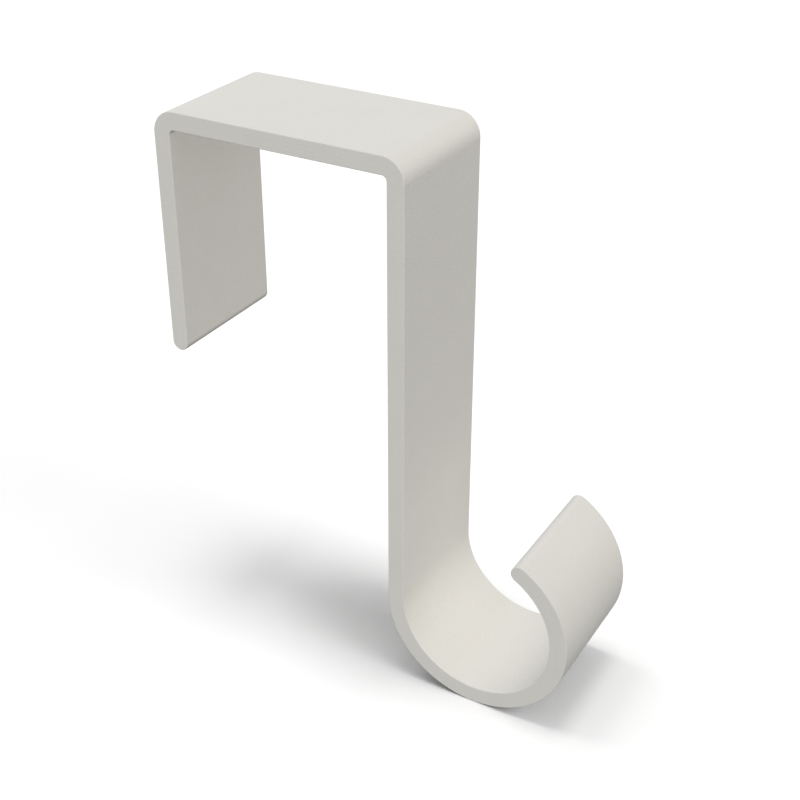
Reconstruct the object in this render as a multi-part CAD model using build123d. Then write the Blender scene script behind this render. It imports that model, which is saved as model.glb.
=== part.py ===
from build123d import *
import os

# Over-door hook: one moulded strip that sits astride a door's top edge and ends in a round hook.
# Millimetres, +Z up. The origin is the middle of the seat, the flat underside that rests on the
# door's top edge. +X points out of the door's face, towards the hook. +Y runs along the top edge.

# Driving dimensions
door_gap = 41.5  # clear space between the two legs: a 40 mm door and a little slack
strip_width = 25.0  # along the door's top edge
wall = 3.2  # thickness of the strip, the same all the way along
bend_radius = 0.9  # inside radius of the two bends over the door
back_leg = 41.4  # from the seat down to the rounded end behind the door
drop = 79.5  # from the seat down to the centre of the hook
cradle_radius = 14.3  # inside radius of the hook
hook_sweep = 240.0  # degrees the hook turns, from the front leg to the middle of its rounded tip
edge_radius = 0.15  # softening of the long edges on both sides of the strip


def strip_centreline():
    """Middle of the wall, from the back leg's end over the door and down round the hook."""
    half_wall = wall / 2
    back_x = -door_gap / 2 - half_wall
    front_x = door_gap / 2 + half_wall
    hook_radius = cradle_radius + half_wall
    corners = [
        (back_x, half_wall - back_leg),
        (back_x, half_wall),
        (front_x, half_wall),
        (front_x, -drop),
    ]
    saddle = FilletPolyline(*corners, radius=bend_radius + half_wall)
    hook = CenterArc((front_x + hook_radius, -drop), hook_radius, 180, hook_sweep)
    return saddle + hook


def strip_section():
    """Outline of the strip seen along the door's edge. Both ends come out fully rounded."""
    return make_face(offset(strip_centreline(), amount=wall / 2, kind=Kind.ARC))


def door_hook():
    """The section carried across the strip's width, with its two outlines softened."""
    body = extrude(Plane.XZ * strip_section(), amount=strip_width / 2, both=True)
    sides = body.faces().sort_by(Axis.Y)
    outlines = sides[0].edges() + sides[-1].edges()
    return fillet(outlines, radius=edge_radius)


os.makedirs("parts", exist_ok=True)
export_step(door_hook(), "parts/door_hook.step")
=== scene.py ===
# %% [markdown]
# # An over-door hook in moulded plastic
#
# The real object is one strip of matte, warm off-white plastic, moulded in a single piece. It sits
# astride the top edge of a door, and its long leg curls up into a round hook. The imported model
# holds that form at its real size, with its tight bends, round ends and softened edges, so it could
# be modelled again here, but nothing would be gained. This lesson gives the strip its surface, and
# then a studio and a camera to see it by.

# %% Load the hook
import math

import bpy
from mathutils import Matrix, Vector


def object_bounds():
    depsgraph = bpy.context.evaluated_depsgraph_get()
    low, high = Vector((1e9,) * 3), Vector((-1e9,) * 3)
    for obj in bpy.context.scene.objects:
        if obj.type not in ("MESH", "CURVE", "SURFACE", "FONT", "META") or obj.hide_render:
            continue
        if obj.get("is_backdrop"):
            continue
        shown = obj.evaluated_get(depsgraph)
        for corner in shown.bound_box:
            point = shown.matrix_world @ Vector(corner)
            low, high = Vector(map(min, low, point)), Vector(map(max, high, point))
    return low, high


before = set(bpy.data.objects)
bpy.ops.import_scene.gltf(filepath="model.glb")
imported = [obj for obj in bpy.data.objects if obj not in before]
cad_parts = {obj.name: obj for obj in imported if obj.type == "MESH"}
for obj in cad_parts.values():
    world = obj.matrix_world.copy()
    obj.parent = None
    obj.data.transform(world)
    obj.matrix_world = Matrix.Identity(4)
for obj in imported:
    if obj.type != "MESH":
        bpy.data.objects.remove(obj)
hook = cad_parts["door_hook"]
cad_low, cad_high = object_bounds()
middle = (cad_low + cad_high) / 2
print("hook, millimetres along X, Y and Z:", [round(1000 * side, 1) for side in cad_high - cad_low])

# %% [markdown]
# ## The camera
#
# The photograph looks down on the hook from its front right, and from close by, so the upright
# edges lean together towards the floor. A long lens from further away would give the same angles
# but would lose that lean. So the distance and the width of view are set together: the distance
# gives the lean, and the width of view then fills the picture as the photograph does.

# %% Aim the camera
view_azimuth, view_elevation = 30.18, 30.29  # degrees round from the front, and up from the horizon
view_distance = 0.24685  # metres from the middle of the hook
view_width = 31.91  # degrees across the square picture
nearest_seen = 0.01  # metres from the lens


def towards(azimuth, elevation):
    """Direction from the hook to something at these angles. At 0, 0 it is straight in front."""
    round_by, up_by = math.radians(azimuth), math.radians(elevation)
    level = math.cos(up_by)
    return Vector((math.sin(round_by) * level, -math.cos(round_by) * level, math.sin(up_by)))


def set_up(name, data, azimuth, elevation, distance):
    """Stands a camera or a lamp at these angles from the hook, looking back at its middle."""
    stand = bpy.data.objects.new(name, data)
    stand.location = middle + distance * towards(azimuth, elevation)
    stand.rotation_euler = (middle - stand.location).to_track_quat("-Z", "Y").to_euler()
    bpy.context.scene.collection.objects.link(stand)
    return stand


camera_data = bpy.data.cameras.new("camera")
camera_data.angle = math.radians(view_width)
camera_data.clip_start = nearest_seen
camera = set_up("camera", camera_data, view_azimuth, view_elevation, view_distance)
bpy.context.scene.camera = camera
print("camera, metres:", [round(x, 4) for x in camera.location])

# %% [markdown]
# ## Clouds, the one pattern that the plastic needs
#
# Moulded plastic looks plain, yet no two spots of it are quite alike. Its pigment is a little
# uneven, its gloss drifts from place to place, and the spark-cut mould leaves a fine grain all over
# it. All three are soft random clouds that differ only in size and strength. They could be three
# separate chains of nodes. One node group is shorter: it takes the size of a cloud in metres and
# the two values that the cloud moves between, and it is placed once for each use.

# %% Build the cloud group
cloud_detail = 2.5  # steps of finer cloud on top of the largest one
noise_low, noise_high = 0.3, 0.7  # nearly all of a noise lies between these values


def put(tree, kind, **inputs):
    """Adds a node. Each input is given by its name, as a value or as the socket that feeds it."""
    node = tree.nodes.new(kind)
    for name, value in inputs.items():
        socket = node.inputs[name.replace("_", " ")]
        if isinstance(value, bpy.types.NodeSocket):
            tree.links.new(value, socket)
        else:
            socket.default_value = value
    return node


def build_cloud_group():
    """Node group: a cloud of a given size, from Low to High."""
    group = bpy.data.node_groups.new("cloud", "ShaderNodeTree")
    group.interface.new_socket("Vector", in_out="INPUT", socket_type="NodeSocketVector")
    for name in ("Size", "Low", "High"):
        group.interface.new_socket(name, in_out="INPUT", socket_type="NodeSocketFloat")
    group.interface.new_socket("Value", in_out="OUTPUT", socket_type="NodeSocketFloat")
    given = group.nodes.new("NodeGroupInput").outputs
    per_metre = group.nodes.new("ShaderNodeMath")
    per_metre.operation = "DIVIDE"
    per_metre.inputs[0].default_value = 1.0
    group.links.new(given["Size"], per_metre.inputs[1])
    noise = put(
        group, "ShaderNodeTexNoise",
        Vector=given["Vector"], Scale=per_metre.outputs[0], Detail=cloud_detail,
    )
    spread = put(
        group, "ShaderNodeMapRange", Value=noise.outputs[0],
        From_Min=noise_low, From_Max=noise_high, To_Min=given["Low"], To_Max=given["High"],
    )
    put(group, "NodeGroupOutput", Value=spread.outputs[0])
    return group


cloud_group = build_cloud_group()
print("cloud group:", len(cloud_group.nodes), "nodes")

# %% [markdown]
# ## The plastic
#
# The finish is matte and slightly warm, with no clear highlight anywhere. A flat colour with a high
# roughness would come close from across a room, but near by it looks like paint on a screen. So the
# colour drifts by about a hundredth between a deep and a pale tone, the roughness drifts with
# larger clouds, and a grain a third of a millimetre across and a few hundredths of a millimetre
# deep tilts the surface by a few degrees. The grain goes to Bump, because it is far too fine to
# model.

# %% Make the plastic
deep_tone = (0.727, 0.712, 0.681, 1.0)
pale_tone = (0.742, 0.727, 0.697, 1.0)
tone_size = 0.011  # metres across a cloud of pigment
gloss_size = 0.024  # metres across a patch of even gloss
smoothest, dullest = 0.74, 0.84  # roughness of the patches
grain_size = 0.00032  # metres from one pit of the grain to the next
grain_depth = 0.000024  # metres from its pits to its peaks
plastic_ior = 1.5  # how strongly the plastic bends light, which sets its gloss


def cloud(tree, place, size, low, high):
    """Places the cloud group and returns its value, which moves between low and high."""
    node = tree.nodes.new("ShaderNodeGroup")
    node.node_tree = cloud_group
    tree.links.new(place, node.inputs["Vector"])
    for name, value in (("Size", size), ("Low", low), ("High", high)):
        node.inputs[name].default_value = value
    return node.outputs["Value"]


def make_plastic():
    """Matte off-white plastic, coloured through, straight from a spark-cut mould."""
    plastic = bpy.data.materials.new("matte_off_white_plastic")
    plastic.use_nodes = True
    tree = plastic.node_tree
    place = tree.nodes.new("ShaderNodeTexCoord").outputs["Object"]
    tone = put(tree, "ShaderNodeValToRGB", Fac=cloud(tree, place, tone_size, 0.0, 1.0))
    tone.color_ramp.elements[0].color = deep_tone
    tone.color_ramp.elements[1].color = pale_tone
    grain = put(
        tree, "ShaderNodeBump", Distance=grain_depth,
        Height=cloud(tree, place, grain_size, 0.0, 1.0),
    )
    surface = tree.nodes["Principled BSDF"]
    surface.inputs["IOR"].default_value = plastic_ior
    tree.links.new(tone.outputs["Color"], surface.inputs["Base Color"])
    tree.links.new(cloud(tree, place, gloss_size, smoothest, dullest), surface.inputs["Roughness"])
    tree.links.new(grain.outputs["Normal"], surface.inputs["Normal"])
    return plastic


hook.material_slots[0].material = make_plastic()
print("hook is now", hook.material_slots[0].material.name)

# %% [markdown]
# ## The floor
#
# The hook stands over a floor so pale that it runs into the background, and only the soft shadow
# shows where it is. A floor that is white to every ray would throw its light up under the strip,
# where the photograph is dark. So the floor is white to rays that look at it, straight or in a
# reflection, and dull to the rays that carry light about. Light Path tells the two apart.

# %% Lay the floor
floor_reach = 3.0  # metres from the hook to the floor's edges
floor_bounce = 0.04  # share of the light that the floor hands back to the hook


def looked_at(tree):
    """Socket that is 1 for rays from the camera, and for those seen in gloss or through glass."""
    path = tree.nodes.new("ShaderNodeLightPath").outputs
    seen = path["Is Camera Ray"]
    for other in ("Is Glossy Ray", "Is Transmission Ray"):
        either = tree.nodes.new("ShaderNodeMath")
        either.operation = "MAXIMUM"
        tree.links.new(seen, either.inputs[0])
        tree.links.new(path[other], either.inputs[1])
        seen = either.outputs[0]
    return seen


def make_floor_finish():
    """White with the hook's shadow where it is looked at, and dull to all other light."""
    finish = bpy.data.materials.new("pale_floor")
    finish.use_nodes = True
    tree = finish.node_tree
    white = tree.nodes["Principled BSDF"]
    white.inputs["Base Color"].default_value = (1.0, 1.0, 1.0, 1.0)
    white.inputs["Specular IOR Level"].default_value = 0.0
    white.inputs["Roughness"].default_value = 1.0
    dull = put(tree, "ShaderNodeBsdfDiffuse", Color=(floor_bounce, floor_bounce, floor_bounce, 1.0))
    either = put(tree, "ShaderNodeMixShader", Fac=looked_at(tree))
    tree.links.new(dull.outputs[0], either.inputs[1])
    tree.links.new(white.outputs[0], either.inputs[2])
    tree.links.new(either.outputs[0], tree.nodes["Material Output"].inputs["Surface"])
    return finish


def lay_floor():
    """One square face under the hook's lowest point."""
    signs = [(-1, -1), (1, -1), (1, 1), (-1, 1)]
    corners = [(floor_reach * x, floor_reach * y, cad_low.z) for x, y in signs]
    mesh = bpy.data.meshes.new("floor")
    mesh.from_pydata(corners, [], [(0, 1, 2, 3)])
    mesh.materials.append(make_floor_finish())
    floor = bpy.data.objects.new("floor", mesh)
    bpy.context.scene.collection.objects.link(floor)
    return floor


floor = lay_floor()
floor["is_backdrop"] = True
print("floor lies", round(-1000 * cad_low.z, 1), "mm below the door's top edge")

# %% [markdown]
# ## The light
#
# The photograph has very soft light from all round. The top is brightest, the sides are a quarter
# to a third darker, only what faces down is dark, and no part throws a shadow on another. The floor
# still has a soft shadow, longest along the strip. One large lamp could never do both. So an even
# sky reaches everything, and the lamps work in two sets, as flags and barn doors would part them in
# a studio. Three lamps light the hook alone and cast no shadow: two warm ones from the front and
# the back, and a slightly cool one from the left. Three more, from overhead, left and right, light
# the floor alone, and the hook stands in their way. A lamp's level is the share of white that it
# gives to a white card facing it.

# %% Light the studio
sky_level = 0.44  # share of white
neutral, cool = (1.0, 1.0, 1.0), (0.95, 0.96, 1.0)
warm, amber = (1.0, 1.0, 0.96), (1.0, 0.96, 0.87)
lamp_distance = 1.0  # metres, for show alone: a sun lamp shines the same from anywhere
hook_lamp_width = 20  # degrees: soft, yet narrow enough to leave the undersides dark


def make_sky():
    """White where it is looked at, and an even half-light otherwise."""
    sky = bpy.data.worlds.new("studio")
    sky.use_nodes = True
    tree = sky.node_tree
    level = put(tree, "ShaderNodeMapRange", Value=looked_at(tree), To_Min=sky_level, To_Max=1.0)
    background = tree.nodes["Background"]
    background.inputs["Color"].default_value = (1.0, 1.0, 1.0, 1.0)
    tree.links.new(level.outputs[0], background.inputs["Strength"])
    return sky


def hang_lamp(name, azimuth, elevation, width, level, colour=neutral):
    """A wide, distant lamp that shines from these angles. The width is in degrees too."""
    lamp = bpy.data.lights.new(name, "SUN")
    lamp.angle = math.radians(width)
    lamp.energy = math.pi * level
    lamp.color = colour
    return set_up(name, lamp, azimuth, elevation, lamp_distance)


def light_only(thing, lamp):
    """Keeps a lamp's light on one thing, as a flag would."""
    lit = bpy.data.collections.new(lamp.name + "_lights")
    lit.objects.link(thing)
    lamp.light_linking.receiver_collection = lit


bpy.context.scene.world = make_sky()
for lamp in (
    hang_lamp("floor_overhead", 0, 90, width=16, level=0.2),
    hang_lamp("floor_left", -90, 65, width=24, level=0.22),
    hang_lamp("floor_right", 90, 35, width=40, level=0.46),
):
    light_only(floor, lamp)
for lamp in (
    hang_lamp("hook_front", 27, 30, width=hook_lamp_width, level=0.59, colour=warm),
    hang_lamp("hook_back", 158, 18, width=hook_lamp_width, level=0.34, colour=amber),
    hang_lamp("hook_left", -118, 24, width=hook_lamp_width, level=0.3, colour=cool),
):
    light_only(hook, lamp)
    lamp.data.use_shadow = False
bpy.context.scene.view_settings.view_transform = "Standard"

# %% [markdown]
# ## The size stays
#
# The finish may not change the hook's size. The box is measured again afterwards, and the largest
# change between the two boxes is printed.

# %% Compare the sizes
new_low, new_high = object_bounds()
largest_change = max((new_low - cad_low).length, (new_high - cad_high).length)
print("largest change of the box, metres:", largest_change)
